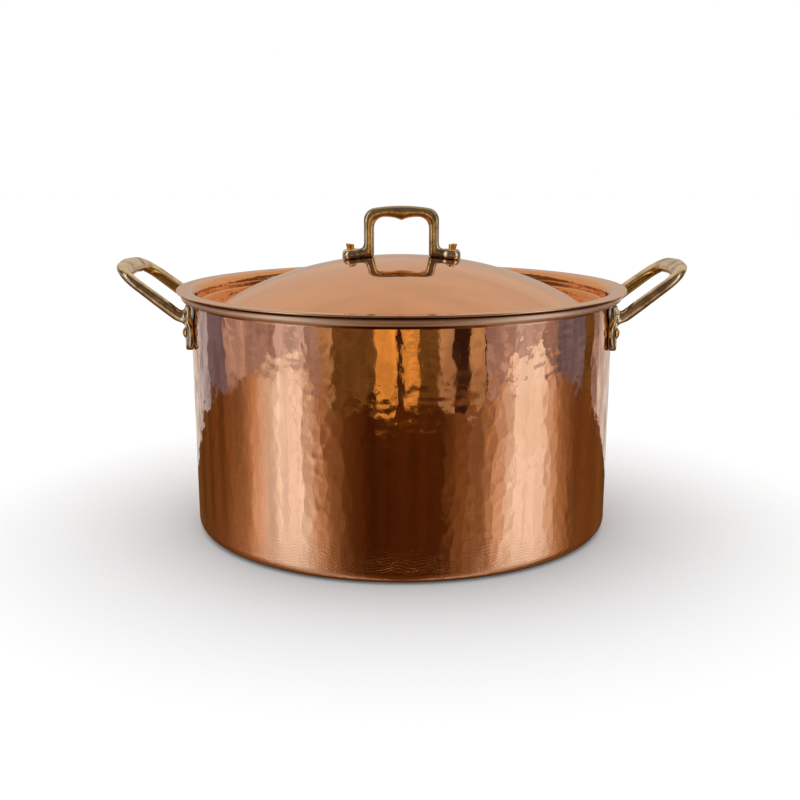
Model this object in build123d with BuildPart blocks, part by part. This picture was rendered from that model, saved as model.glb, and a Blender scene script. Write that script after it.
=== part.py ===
import os
from math import asin, atan2, cos, degrees, radians, sin, sqrt

from build123d import *

# Lidded copper pot, hammered from sheet, with cast brass handles riveted on.
# Millimetres, +Z up. The origin is on the table, under the middle of the base,
# and the two side handles stand along X.

# Pot
pot_radius = 140.0  # outside of the wall, just under the rim
pot_height = 158.7  # top of the rolled rim
pot_sheet = 1.5
wall_taper = 1.2  # how much narrower the wall is at the base
base_corner = 7.3  # outside radius between base and wall
rim_wire_radius = 1.2
wire_fit = 0.05
rim_stand_out = 2.0  # how far the sheet flares before it rolls round the wire
flare_height = 3.6
rim_roll_turn = 290  # degrees of sheet round the wire

# Lid
lid_sheet = 1.2
lid_rest_gap = 0.3  # under the brim, where it lies on the rim
lid_wall_gap = 1.1  # round the inset wall, so that the lid drops in easily
brim_overhang = 3.1  # past the rolled rim
brim_edge_round = 0.5
lid_inset = 10.2  # brim down to the gutter floor
brim_bend = 5.2  # bend radii are those of the middle of the sheet
gutter_bend = 2.4
gutter_width = 16.8  # from the inset wall to where the dome rises
dome_rise = 30.2
dome_bend = 14.0

# Lid handle
grip_width = 50.0
grip_rise = 32.7  # top of the handle above the top of the dome
grip_leg = 6.8
grip_bar = 7.2
grip_depth = 10.0
grip_corner = 8.0
grip_inner_corner = 7.0
grip_crown = 9  # degrees that the top bar slopes at its ends
cusp_drop = 2.4
cusp_slope = 32  # degrees
grip_round = 3.2
lug_spacing = 66.0  # between the two lid rivets
lug_radius = 6.6
lug_thickness = 6.7
lug_round = 3.4
lug_fillet = 3.4
web_depth = 8.0
web_sink = 0.3  # how much lower the web is than the lug
web_round = 1.6
casting_fit = 0.1  # between a casting and the sheet that it is riveted to

# Side handles, whose drops are measured down from the top of the rim
loop_width = 67.0  # between the middles of the two legs, at the loop's outer end
loop_root_width = 72.0  # and at the feet
loop_stand_out = 42.0  # middle of the bar at the outer end, out from the wall
loop_root_stand_out = 1.0
loop_root_drop = 16.4
loop_slope = 37  # degrees up from level
loop_bar_width = 11.0
loop_bar_height = 7.1
loop_bar_tilt = 18  # degrees, outer edge up
loop_grip_width = 12.5  # the bar widens and flattens at the loop's outer end
loop_grip_tilt = 2
leg_share = 0.26  # of the bar's length, over which its section stays the same
loop_corner = 15.0
loop_end_bend = 90.0
loop_end_bow = 2.6
loop_sunk = 6.0  # how far a leg runs back into its foot
foot_spacing = 80.0  # between the middles of the two feet
foot_width = 17.0
foot_drop = 36.0  # down to the foot's lower end
foot_thickness = 4.6
foot_round = 1.1
shoulder_drop = 15.2  # where the foot's front starts to lean out into the neck
neck_drop = 10.7
neck_thickness = 3.9
seat_drop = 17.7  # where the foot's back leaves the wall
waist_drop = 12.2
waist_gap = 1.2  # from the wall to the hollow behind the neck
horn_drop = 7.1
horn_gap = 0.9
horn_thickness = 2.6

# Rivets
side_rivet_drop = 24.4
side_shank_radius = 2.3
side_head_radius = 3.6
side_head_height = 1.7
lid_shank_radius = 2.5
lid_peg_height = 3.3  # above the lug
lid_peg_round = 0.6
inner_head_radius = 4.6
inner_head_height = 1.6
rivet_fit = 0.08
head_fit = 0.2  # round a side rivet's head, where the foot is faced flat for it

overrun = 10.0  # how far every cut runs past what it cuts

# Places worked out from the sizes above
rim_tube_radius = rim_wire_radius + wire_fit + pot_sheet
rim_roll_radius = rim_wire_radius + wire_fit + pot_sheet / 2
wall_middle = pot_radius - pot_sheet / 2
rim_centre = wall_middle + rim_stand_out + rim_roll_radius
rim_level = pot_height - rim_tube_radius
wall_top = rim_level - flare_height

foot_azimuth = degrees(asin(foot_spacing / 2 / pot_radius))
foot_bottom = pot_height - foot_drop
horn_top = pot_height - horn_drop
side_rivet_height = pot_height - side_rivet_drop

brim_level = pot_height + lid_rest_gap + lid_sheet / 2
lid_wall = pot_radius - pot_sheet - lid_wall_gap - lid_sheet / 2
gutter_level = brim_level - lid_inset
brim_radius = rim_centre + rim_tube_radius + brim_overhang
dome_half = lid_wall - gutter_width
dome_radius = (dome_half**2 + dome_rise**2) / (2 * dome_rise)
dome_centre = gutter_level + dome_rise - dome_radius
dome_outside = dome_radius + lid_sheet / 2
dome_inside = dome_radius - lid_sheet / 2
dome_top = dome_centre + dome_outside
lug_reach = lug_spacing / 2
lug_lean = degrees(asin(lug_reach / dome_outside))
lug_seat = dome_centre + sqrt(dome_outside**2 - lug_reach**2)
lug_top = lug_seat + lug_thickness
web_top = lug_top - web_sink


def wall_radius(height):
    """Outside of the pot's wall at a height, which narrows evenly to the base."""
    return pot_radius - wall_taper * (1 - height / wall_top)


def wall_plane(azimuth, height):
    """Plane that touches the wall: its X runs round the pot, its Y up and its Z outwards."""
    outward = Vector(cos(radians(azimuth)), sin(radians(azimuth)), 0)
    along = Vector(-sin(radians(azimuth)), cos(radians(azimuth)), 0)
    place = outward * wall_radius(height) + Vector(0, 0, height)
    return Plane(origin=place, x_dir=along, z_dir=outward)


def dome_plane(side):
    """Plane that touches the dome at a lid rivet, side being -1 or 1."""
    lean = radians(lug_lean) * side
    outward = Vector(sin(lean), 0, cos(lean))
    place = outward * dome_outside + Vector(0, 0, dome_centre)
    return Plane(origin=place, x_dir=(cos(lean), 0, -sin(lean)), z_dir=outward)


side_rivet_planes = {
    "right": [wall_plane(turn, side_rivet_height) for turn in (-foot_azimuth, foot_azimuth)],
    "left": [wall_plane(180 + turn, side_rivet_height) for turn in (-foot_azimuth, foot_azimuth)],
}
lid_rivet_planes = [dome_plane(side) for side in (-1, 1)]

# Pot: one sheet, with a rounded base corner and a rim rolled outwards round a wire
base_level = pot_sheet / 2
base_middle = wall_radius(base_level) - pot_sheet / 2
with BuildPart() as pot_shell:
    with BuildSketch(Plane.XZ):
        with BuildLine():
            side = FilletPolyline(
                (0, base_level),
                (base_middle, base_level),
                (wall_middle, wall_top),
                radius=base_corner - pot_sheet / 2,
            )
            Spline(
                side @ 1,
                (wall_middle + rim_stand_out, rim_level),
                tangents=(side % 1, (0, 1)),
            )
            CenterArc((rim_centre, rim_level), rim_roll_radius, 180, -rim_roll_turn)
        trace(line_width=pot_sheet)
    revolve(axis=Axis.Z)
    for plane in side_rivet_planes["right"] + side_rivet_planes["left"]:
        with BuildSketch(plane):
            Circle(side_shank_radius + rivet_fit)
        extrude(amount=pot_sheet + overrun, both=True, mode=Mode.SUBTRACT)
pot_shell.part.label = "pot_shell"

# Wire inside the rolled rim, which keeps it stiff and round
with BuildPart() as rim_wire:
    with BuildSketch(Plane.XZ):
        with Locations((rim_centre, rim_level)):
            Circle(rim_wire_radius)
    revolve(axis=Axis.Z)
rim_wire.part.label = "rim_wire"

# Lid: one spun sheet, whose brim lies on the rim and whose dome rises from a gutter
bend_level = gutter_level + dome_bend
bend_reach = sqrt((dome_radius + dome_bend) ** 2 - (bend_level - dome_centre) ** 2)
dome_start = degrees(atan2(bend_level - dome_centre, bend_reach))
with BuildPart() as lid:
    with BuildSketch(Plane.XZ) as sheet:
        with BuildLine():
            FilletPolyline(
                (brim_radius, brim_level),
                (lid_wall, brim_level),
                (lid_wall, gutter_level),
                (bend_reach, gutter_level),
                radius=(brim_bend, gutter_bend),
            )
            CenterArc((bend_reach, bend_level), dome_bend, 270, dome_start - 90)
            CenterArc((0, dome_centre), dome_radius, dome_start, 90 - dome_start)
        trace(line_width=lid_sheet)
        fillet(sheet.vertices().group_by(Axis.X)[-1], brim_edge_round)
    revolve(axis=Axis.Z)
    for plane in lid_rivet_planes:
        with BuildSketch(plane):
            Circle(lid_shank_radius + rivet_fit)
        extrude(amount=lid_sheet + overrun, both=True, mode=Mode.SUBTRACT)
lid.part.label = "lid"

# Lug of the lid handle: a round pad for the rivet
with BuildPart() as lug:
    with BuildSketch(Plane.XZ):
        with BuildLine():
            puck = FilletPolyline(
                (lug_reach, brim_level),
                (lug_reach + lug_radius, brim_level),
                (lug_reach + lug_radius, lug_top),
                (lug_reach, lug_top),
                radius=(0, lug_round),
            )
            Line(puck @ 1, puck @ 0)
        make_face()
    revolve(axis=Axis((lug_reach, 0, 0), (0, 0, 1)))

# Web between a leg of the lid handle and its lug
grip_side = grip_width / 2
with BuildPart() as web:
    with BuildSketch(Plane.XZ):
        with BuildLine():
            leg_line = Polyline(
                (lug_reach, brim_level),
                (grip_side - grip_leg / 2, brim_level),
                (grip_side - grip_leg / 2, web_top + lug_fillet),
                (grip_side, web_top + lug_fillet),
            )
            hollow = JernArc(leg_line @ 1, (0, -1), lug_fillet, 90)
            Polyline(hollow @ 1, (lug_reach, web_top), (lug_reach, brim_level))
        make_face()
    extrude(amount=web_depth / 2, both=True)
    flanks = web.faces().filter_by(Axis.Y).edges()
    fillet(flanks.filter_by(lambda edge: edge.center().X > grip_side), web_round)

# Lid handle: a square arch with a cusp under its bar, and a lug outside each leg
grip_top = dome_top + grip_rise
crown = radians(grip_crown)
crown_half = grip_side - grip_corner * (1 - sin(crown))
crown_radius = crown_half / sin(crown)
inner_top = grip_top - grip_bar
cusp = radians(cusp_slope)
with BuildPart() as lid_handle:
    with BuildSketch(Plane.XZ):
        with BuildLine():
            top = CenterArc((0, grip_top - crown_radius), crown_radius, 90, grip_crown)
            corner = JernArc(top @ 1, top % 1, grip_corner, 90 - grip_crown)
            leg_line = Polyline(
                corner @ 1,
                (-grip_side, brim_level),
                (grip_leg - grip_side, brim_level),
                (grip_leg - grip_side, inner_top - grip_inner_corner),
            )
            inner = JernArc(leg_line @ 1, (0, 1), grip_inner_corner, -90)
            Spline(
                inner @ 1,
                (0, inner_top - cusp_drop),
                tangents=((1, 0), (cos(cusp), -sin(cusp))),
            )
            mirror(about=Plane.YZ)
        make_face()
    extrude(amount=grip_depth / 2, both=True)
    outline = lid_handle.faces().filter_by(Axis.Y).edges()
    fillet(outline.filter_by(lambda edge: edge.center().Z > brim_level), grip_round)
    for piece in (web.part, lug.part):
        add(piece)
        mirror(piece, about=Plane.YZ)
    with Locations((0, 0, dome_centre)):
        Sphere(dome_outside + casting_fit, mode=Mode.SUBTRACT)
    for plane in lid_rivet_planes:
        with BuildSketch(plane):
            Circle(lid_shank_radius + rivet_fit)
        extrude(amount=lug_thickness + overrun, both=True, mode=Mode.SUBTRACT)
lid_handle.part.label = "lid_handle"

# Foot of a side handle: a rounded pad on the wall, and above it a neck that stands off
# the wall and ends in a short horn under the rim
foot_plane = wall_plane(foot_azimuth, side_rivet_height)
wall_here = wall_radius(side_rivet_height)
side_plane = Plane(origin=(0, 0, 0), x_dir=foot_plane.z_dir, z_dir=-foot_plane.x_dir)


def stands_out(edge):
    """True for an edge that lies clear of the wall all along."""
    ends = [foot_plane.to_local_coords(edge @ share).Z for share in (0, 1)]
    return min(ends) > casting_fit


with BuildPart() as foot:
    with BuildSketch(side_plane):
        with BuildLine():
            Polyline(
                (wall_here - overrun, foot_bottom),
                (wall_here + foot_thickness, foot_bottom),
                (wall_here + foot_thickness, pot_height - shoulder_drop),
                (wall_here + neck_thickness, pot_height - neck_drop),
                (wall_here + horn_gap + horn_thickness, horn_top),
                (wall_here + horn_gap, horn_top),
                (wall_here + waist_gap, pot_height - waist_drop),
                (wall_here, pot_height - seat_drop),
                (wall_here - overrun, pot_height - seat_drop),
                close=True,
            )
        make_face()
    extrude(amount=foot_width / 2, both=True)
    with BuildSketch(foot_plane):
        with Locations((0, foot_bottom + foot_width / 2 - side_rivet_height)):
            Circle(foot_width / 2)
            Rectangle(foot_width, horn_top - foot_bottom, align=(Align.CENTER, Align.MIN))
    extrude(amount=neck_thickness + overrun, both=True, mode=Mode.INTERSECT)
    flanks = foot.faces().filter_by(Axis(foot_plane.origin, foot_plane.x_dir))
    curves = flanks.edges() + foot.edges().filter_by(GeomType.CIRCLE)
    fillet(curves.filter_by(stands_out), foot_round)

# Side handle: an oval bar bent into a loop, with a foot under each leg
slope = radians(loop_slope)
loop_plane = Plane(
    origin=(pot_radius + loop_root_stand_out, 0, pot_height - loop_root_drop),
    x_dir=(cos(slope), 0, sin(slope)),
    z_dir=(-sin(slope), 0, cos(slope)),
)
loop_length = (loop_stand_out - loop_root_stand_out) / cos(slope)
leg = (loop_bar_width, loop_bar_tilt)
grip = (loop_grip_width, loop_grip_tilt)
bar_sections = [(0, *leg), (leg_share, *leg), (1 / 2, *grip), (1 - leg_share, *leg), (1, *leg)]
with BuildPart() as right_side_handle:
    with BuildLine(loop_plane) as loop_path:
        FilletPolyline(
            (-loop_sunk, -loop_root_width / 2),
            (loop_length - loop_end_bow, -loop_width / 2),
            (loop_length, 0),
            (loop_length - loop_end_bow, loop_width / 2),
            (-loop_sunk, loop_root_width / 2),
            radius=(loop_corner, loop_end_bend, loop_corner),
        )
    for share, width, tilt in bar_sections:
        along = loop_path.line % share
        outward = along.cross(loop_plane.z_dir)
        with BuildSketch(Plane(origin=loop_path.line @ share, x_dir=outward, z_dir=along)):
            Ellipse(width / 2, loop_bar_height / 2, rotation=-tilt)
    sweep(multisection=True)
    add(foot.part)
    mirror(foot.part, about=Plane.XZ)
    with BuildSketch(Plane.XZ):
        with BuildLine():
            Polyline(
                (0, 0),
                (wall_radius(0) + casting_fit, 0),
                (pot_radius + casting_fit, wall_top),
                (pot_radius + casting_fit, pot_height),
                (0, pot_height),
                close=True,
            )
        make_face()
    revolve(axis=Axis.Z, mode=Mode.SUBTRACT)
    for plane in side_rivet_planes["right"]:
        with BuildSketch(plane):
            Circle(side_shank_radius + rivet_fit)
        extrude(amount=foot_thickness + overrun, both=True, mode=Mode.SUBTRACT)
        with BuildSketch(plane.offset(foot_thickness)):
            Circle(side_head_radius + head_fit)
        extrude(amount=overrun, mode=Mode.SUBTRACT)
right_side_handle.part.label = "right_side_handle"

with BuildPart() as left_side_handle:
    add(right_side_handle.part, rotation=(0, 0, 180))
left_side_handle.part.label = "left_side_handle"


def inner_seat(curve_radius):
    """How far a flat head inside a hollow lies from the hollow's face, at its middle."""
    return curve_radius - sqrt(curve_radius**2 - inner_head_radius**2) + rivet_fit


def rivet_axis(plane):
    return Axis(origin=plane.origin, direction=plane.z_dir)


# Side rivets: a domed head outside, a shank through foot and wall, a flat head inside
def side_rivets(planes):
    seat = -pot_sheet - inner_seat(wall_here - pot_sheet)
    dome = (side_head_radius**2 + side_head_height**2) / (2 * side_head_height)
    with BuildPart() as rivets:
        for plane in planes:
            with BuildSketch(Plane(origin=plane.origin, x_dir=plane.x_dir, z_dir=-plane.y_dir)):
                with BuildLine():
                    Polyline(
                        (0, foot_thickness + side_head_height),
                        (0, seat - inner_head_height),
                        (inner_head_radius - inner_head_height / 2, seat - inner_head_height),
                        (inner_head_radius, seat - inner_head_height / 2),
                        (inner_head_radius, seat),
                        (side_shank_radius, seat),
                        (side_shank_radius, foot_thickness),
                        (side_head_radius, foot_thickness),
                    )
                    RadiusArc(
                        (side_head_radius, foot_thickness),
                        (0, foot_thickness + side_head_height),
                        -dome,
                    )
                make_face()
            revolve(axis=rivet_axis(plane))
    return rivets.part


right_handle_rivets = side_rivets(side_rivet_planes["right"])
right_handle_rivets.label = "right_handle_rivets"
left_handle_rivets = side_rivets(side_rivet_planes["left"])
left_handle_rivets.label = "left_handle_rivets"

# Lid rivets: a plain peg that stands above each lug, and a flat head under the dome
with BuildPart() as lid_handle_rivets:
    seat = -lid_sheet - inner_seat(dome_inside)
    peg_top = lug_thickness * cos(radians(lug_lean)) + lid_peg_height
    for plane in lid_rivet_planes:
        with BuildSketch(Plane(origin=plane.origin, x_dir=plane.x_dir, z_dir=-plane.y_dir)):
            with BuildLine():
                Polyline(
                    (0, peg_top),
                    (0, seat - inner_head_height),
                    (inner_head_radius - inner_head_height / 2, seat - inner_head_height),
                    (inner_head_radius, seat - inner_head_height / 2),
                    (inner_head_radius, seat),
                    (lid_shank_radius, seat),
                    (lid_shank_radius, peg_top - lid_peg_round),
                    (lid_shank_radius - lid_peg_round, peg_top),
                    close=True,
                )
            make_face()
        revolve(axis=rivet_axis(plane))
lid_handle_rivets.part.label = "lid_handle_rivets"

os.makedirs("parts", exist_ok=True)
export_step(pot_shell.part, "parts/pot_shell.step")
export_step(rim_wire.part, "parts/rim_wire.step")
export_step(lid.part, "parts/lid.step")
export_step(lid_handle.part, "parts/lid_handle.step")
export_step(lid_handle_rivets.part, "parts/lid_handle_rivets.step")
export_step(right_side_handle.part, "parts/right_side_handle.step")
export_step(left_side_handle.part, "parts/left_side_handle.step")
export_step(right_handle_rivets, "parts/right_handle_rivets.step")
export_step(left_handle_rivets, "parts/left_handle_rivets.step")
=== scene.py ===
from functools import partial
from math import atan2, ceil, cos, hypot, pi, radians, sin, tan

import bpy
import numpy as np
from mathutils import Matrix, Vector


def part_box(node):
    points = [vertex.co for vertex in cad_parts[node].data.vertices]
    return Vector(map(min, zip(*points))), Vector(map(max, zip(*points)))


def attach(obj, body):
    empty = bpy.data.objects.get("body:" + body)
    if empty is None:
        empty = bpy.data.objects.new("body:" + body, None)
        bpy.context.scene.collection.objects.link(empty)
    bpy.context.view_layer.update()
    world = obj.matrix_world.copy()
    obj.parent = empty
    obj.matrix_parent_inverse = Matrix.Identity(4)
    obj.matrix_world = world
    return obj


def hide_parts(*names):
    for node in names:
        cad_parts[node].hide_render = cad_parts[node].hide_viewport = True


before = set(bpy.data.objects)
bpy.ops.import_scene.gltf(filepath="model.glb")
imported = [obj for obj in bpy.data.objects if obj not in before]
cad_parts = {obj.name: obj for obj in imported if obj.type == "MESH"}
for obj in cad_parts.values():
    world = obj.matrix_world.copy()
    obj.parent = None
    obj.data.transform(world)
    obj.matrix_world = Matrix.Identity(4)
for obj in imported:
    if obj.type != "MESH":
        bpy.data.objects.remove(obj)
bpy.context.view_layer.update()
print("frame loaded:", sorted(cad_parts))

# Hammered copper pot with a spun lid and cast brass handles.
# Metres. The pot stands on z = 0 and its two loop handles point along X.


# Meshes

def newPiece(name, body, replaced):
    mesh = bpy.data.meshes.new(name)
    piece = bpy.data.objects.new(name, mesh)
    bpy.context.scene.collection.objects.link(piece)
    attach(piece, body)
    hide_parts(replaced)
    return piece


def fillMesh(mesh, vertices, faces):
    # faces is a list of index arrays, one array for each number of corners
    mesh.vertices.add(len(vertices))
    mesh.vertices.foreach_set("co", vertices.astype(np.float32).ravel())
    corners = np.concatenate([f.ravel() for f in faces])
    sizes = np.concatenate([np.full(len(f), f.shape[1]) for f in faces])
    starts = np.concatenate([[0], np.cumsum(sizes)[:-1]])
    mesh.loops.add(len(corners))
    mesh.loops.foreach_set("vertex_index", corners.astype(np.int32))
    mesh.polygons.add(len(sizes))
    mesh.polygons.foreach_set("loop_start", starts.astype(np.int32))
    mesh.polygons.foreach_set("use_smooth", np.ones(len(sizes), dtype=bool))
    mesh.update(calc_edges=True)
    mesh.validate()


def markVertices(mesh, name, values):
    # the vertices past the end of the values get 0
    marks = np.zeros(len(mesh.vertices), dtype=np.float32)
    marks[: len(values)] = values
    mesh.attributes.new(name, "FLOAT", "POINT").data.foreach_set("value", marks)


def revolvedParts(grid):
    # grid[i, j] is profile point i carried round to turn j. The first and the last profile
    # point lie on the axis, so each of them is one vertex with a fan of triangles.
    ring = grid[1:-1]
    rows, columns = ring.shape[:2]
    here = np.arange(columns)
    there = (here + 1) % columns
    low = (np.arange(rows - 1) * columns)[:, None]
    quads = np.stack([low + here, low + there, low + columns + there, low + columns + here], -1)
    startPole, endPole = rows * columns, rows * columns + 1
    last = (rows - 1) * columns
    startFan = np.stack([np.full(columns, startPole), there, here], -1)
    endFan = np.stack([last + here, last + there, np.full(columns, endPole)], -1)
    vertices = np.concatenate([ring.reshape(-1, 3), grid[0, :1], grid[-1, :1]])
    return vertices, [quads.reshape(-1, 4), startFan, endFan]


def bentPath(corners, bends, spacing, bendSteps):
    # Straight runs joined by tangent arcs. Each corner is cut back by its radius times the
    # tangent of half the turn. Gives the points and the direction of travel at each.
    corners = [np.array(c, float) for c in corners]
    points, ways = [], []
    start = corners[0]
    for i in range(1, len(corners)):
        way = (corners[i] - corners[i - 1]) / np.linalg.norm(corners[i] - corners[i - 1])
        side = np.array([-way[1], way[0]])
        if i == len(corners) - 1:
            turn, radius = 0.0, 0.0
        else:
            nextWay = corners[i + 1] - corners[i]
            turn = atan2(way[0] * nextWay[1] - way[1] * nextWay[0], way @ nextWay)
            radius = bends[i - 1]
        end = corners[i] - way * radius * tan(abs(turn) / 2)
        steps = max(1, ceil(np.linalg.norm(end - start) / spacing[i - 1]))
        along = np.linspace(0, 1, steps + 1)[:-1] if radius else np.linspace(0, 1, steps + 1)
        points.append(start + (end - start) * along[:, None])
        ways.append(np.repeat(way[None], len(along), 0))
        if radius:
            swing = np.linspace(0, turn, bendSteps + 1)
            swung = np.outer(np.cos(swing), way) + np.outer(np.sin(swing), side)
            centre = end + side * radius * np.sign(turn)
            out = np.stack([swung[:, 1], -swung[:, 0]], -1)
            points.append((centre + out * radius * np.sign(turn))[:-1])
            ways.append(swung[:-1])
            start = centre + out[-1] * radius * np.sign(turn)
    return np.concatenate(points), np.concatenate(ways)


def rightOf(ways):
    return np.stack([ways[:, 1], -ways[:, 0]], -1)


def carriedRound(profile, columns):
    # profile point (r, z) carried round Z: (r cos t, r sin t, z)
    turn = np.arange(columns) * 2 * pi / columns
    r, z = profile[:, :1], profile[:, 1:]
    return np.stack([r * np.cos(turn), r * np.sin(turn), z + 0 * turn], -1)


def smoothStep(low, high, value):
    t = np.clip((value - low) / (high - low), 0, 1)
    return t * t * (3 - 2 * t)


# Pot: one hammered sheet from the middle of the base to the end of the rolled rim

pot = {
    "radius": 0.140,          # outside of the wall under the rim
    "height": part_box("pot_shell")[1].z,
    "sheet": 0.0015,
    "taper": 0.0012,
    "baseCorner": 0.0073,
    "wireRadius": 0.00125,
    "rimStandOut": 0.002,
    "flareHeight": 0.0036,
    "rollTurn": radians(290),
    "columns": 690,
    # spacing of the rows on the base and the wall, then steps of the corner, flare and roll
    "outerRows": ((0.03, 0.00134), 8, 6, 12),
    "innerRows": ((0.06, 0.025), 6, 6, 18),
    "marksFrom": (0.002, 0.009),  # heights over which the hammer marks set in
    "marksFade": 0.004,       # and over which they end, above the straight wall
    "plainRim": 16,           # rows of the flare and the roll that carry none
}

dents = {
    "width": 0.0068,          # of one hammer mark, round the pot
    "height": 0.0074,
    "jitter": 0.3,            # share of a mark's width and height
    "reach": (0.0040, 0.0054),  # of one mark's edge from its middle, were it alone
    "hammerRadius": (0.15, 0.30),
    "hardRadius": 0.044,      # where the sheet was worked hardest
    "upright": 4.5,           # how much straighter a mark is up the wall than round it
    "hardUpright": 1.2,
    "hardPlaces": [(-60, 13, 0.075, 0.080), (-111, 6, 0.085, 0.060), (-38, 9, 0.050, 0.060),
                   (-76, 8, 0.040, 0.040), (40, 22, 0.08, 0.05), (118, 25, 0.07, 0.05),
                   (200, 18, 0.09, 0.05)],
    "soften": 0.0000015,      # polish that rounds the ridges between marks
    "spareRows": 2,           # rows of marks below the base, and as many above the rim
    "cap": 60,                # of the exponents, which keeps their sum finite
    "seed": 11,
}


def hardness(turn, height):
    # 0 to 1: the largest of soft round patches, each with its middle and spread in degrees
    # round the pot and in metres up it
    best = np.zeros(np.broadcast(turn, height).shape)
    for middle, spread, level, reach in dents["hardPlaces"]:
        away = (np.degrees(turn) - middle + 180) % 360 - 180
        best = np.maximum(best, np.exp(-((away / spread) ** 2) - ((height - level) / reach) ** 2))
    return best


def dentDepth(around, height):
    # Depth of hammer marks at points of the unrolled wall. Each mark is a shallow bowl,
    # its depth less distance squared over twice the hammer's radius, which is longer up
    # the wall than round it. Where bowls overlap the deepest one counts, with the ridges
    # between them slightly rounded.
    draw = np.random.default_rng(dents["seed"])
    length = 2 * pi * pot["radius"]
    count = round(length / dents["width"])
    spare = dents["spareRows"]
    rows = ceil(pot["height"] / dents["height"]) + 2 * spare
    shape = (rows, count)
    shiftX, shiftZ = draw.uniform(-1, 1, (2,) + shape) * dents["jitter"]
    width = length / count
    markTurn = (np.arange(count)[None] + 0.5) * 2 * pi / count
    markLevel = (np.arange(rows)[:, None] - spare + 0.5) * dents["height"]
    hard = hardness(markTurn, markLevel)
    bowl = draw.uniform(*dents["hammerRadius"], shape)
    bowl = bowl + (dents["hardRadius"] - bowl) * hard
    upright = dents["upright"] + (dents["hardUpright"] - dents["upright"]) * hard
    deep = draw.uniform(*dents["reach"], shape) ** 2 / (2 * bowl)
    total = np.zeros(np.broadcast(around, height).shape)
    rowHere = np.floor(height / dents["height"]).astype(int)
    for rowStep in (-1, 0, 1):
        row = rowHere + rowStep + spare
        stagger = (row % 2) * 0.5
        columnHere = np.floor(around / width - stagger).astype(int)
        for columnStep in (-1, 0, 1):
            column = (columnHere + columnStep) % count
            centreX = (columnHere + columnStep + 0.5 + stagger + shiftX[row, column]) * width
            centreZ = (row - spare + 0.5 + shiftZ[row, column]) * dents["height"]
            apart = (around - centreX) ** 2 + (height - centreZ) ** 2 / upright[row, column]
            mark = deep[row, column] - apart / (2 * bowl[row, column])
            total += np.exp(np.clip(mark / dents["soften"], -dents["cap"], dents["cap"]))
    return dents["soften"] * np.log1p(total)


def potSide(spacing, cornerSteps, flareSteps, rollSteps):
    # middle of the sheet: base, corner and wall, then a flare, then the roll round the wire
    half = pot["sheet"] / 2
    rollRadius = pot["wireRadius"] + half
    wall = pot["radius"] - half
    rimLevel = pot["height"] - rollRadius - half
    wallTop = rimLevel - pot["flareHeight"]
    base = pot["radius"] - pot["taper"] - half
    points, ways = bentPath(
        [(0, half), (base, half), (wall, wallTop)],
        [pot["baseCorner"] - half],
        spacing,
        cornerSteps,
    )
    t = np.linspace(0, 1, flareSteps + 1)[1:-1, None]
    reach = pot["flareHeight"]
    start, end = np.array([wall, wallTop]), np.array([wall + pot["rimStandOut"], rimLevel])
    go, arrive = ways[-1] * reach, np.array([0, 1]) * reach
    flare = (
        start * (2 * t**3 - 3 * t**2 + 1) + go * (t**3 - 2 * t**2 + t)
        + end * (3 * t**2 - 2 * t**3) + arrive * (t**3 - t**2)
    )
    flareWay = (
        start * (6 * t**2 - 6 * t) + go * (3 * t**2 - 4 * t + 1)
        + end * (6 * t - 6 * t**2) + arrive * (3 * t**2 - 2 * t)
    )
    flareWay /= np.linalg.norm(flareWay, axis=1)[:, None]
    angle = pi - np.linspace(0, 1, rollSteps + 1) * pot["rollTurn"]
    centre = np.array([wall + pot["rimStandOut"] + rollRadius, rimLevel])
    roll = centre + rollRadius * np.stack([np.cos(angle), np.sin(angle)], -1)
    rollWay = np.stack([np.sin(angle), -np.cos(angle)], -1)
    return np.concatenate([points, flare, roll]), np.concatenate([ways, flareWay, rollWay])


def makePot():
    half = pot["sheet"] / 2
    outer, outerWays = potSide(*pot["outerRows"])
    inner, innerWays = potSide(*pot["innerRows"])
    outside = outer + rightOf(outerWays) * half
    inside = (inner - rightOf(innerWays) * half)[::-1]
    inside[-1, 0] = outside[0, 0] = 0
    grid = carriedRound(np.concatenate([outside, inside]), pot["columns"])
    wallTop = pot["height"] - 2 * (pot["wireRadius"] + half) - pot["flareHeight"]
    z = grid[: len(outside), :, 2]
    turn = np.arange(pot["columns"]) * 2 * pi / pot["columns"]
    fade = smoothStep(*pot["marksFrom"], z)
    fade *= 1 - smoothStep(wallTop, wallTop + pot["marksFade"], z)
    fade[len(outside) - pot["plainRim"] :] = 0
    depth = dentDepth(turn[None] * pot["radius"] + 0 * z, z) * fade
    r = np.hypot(grid[: len(outside), :, 0], grid[: len(outside), :, 1])
    shrink = 1 - depth / np.maximum(r, pot["sheet"])
    grid[: len(outside), :, 0] *= shrink
    grid[: len(outside), :, 1] *= shrink
    piece = newPiece("hammeredPot", "pot", "pot_shell")
    fillMesh(piece.data, *revolvedParts(grid))
    markVertices(piece.data, "struck", hardness(turn[None], z[1:]).ravel())
    markVertices(piece.data, "outer", np.ones(z[1:].size))
    deepest = round(depth.max() * 1000, 3)
    print("pot:", len(piece.data.polygons), "faces, deepest mark", deepest, "mm")
    return piece


# Lid: a spun sheet with a flat brim, a gutter and a dome

lid = {
    "sheet": 0.0012,
    "brimRadius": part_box("lid")[1].x,
    "brimLevel": 0.1596,      # middle of the sheet
    "wallRadius": 0.1368,
    "inset": 0.0102,
    "brimBend": 0.0052,
    "gutterBend": 0.0024,
    "domeHalf": 0.120,
    "domeRise": 0.0302,
    "domeBend": 0.014,
    "edgeRound": 0.0006,
    "columns": 480,
    # spacing of the rows on the dome and on the rest, then steps of each bend
    "upperRows": (0.0024, 0.0012, 9),
    "underRows": (0.006, 0.003, 7),
    "edgeRows": 9,
}


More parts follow.
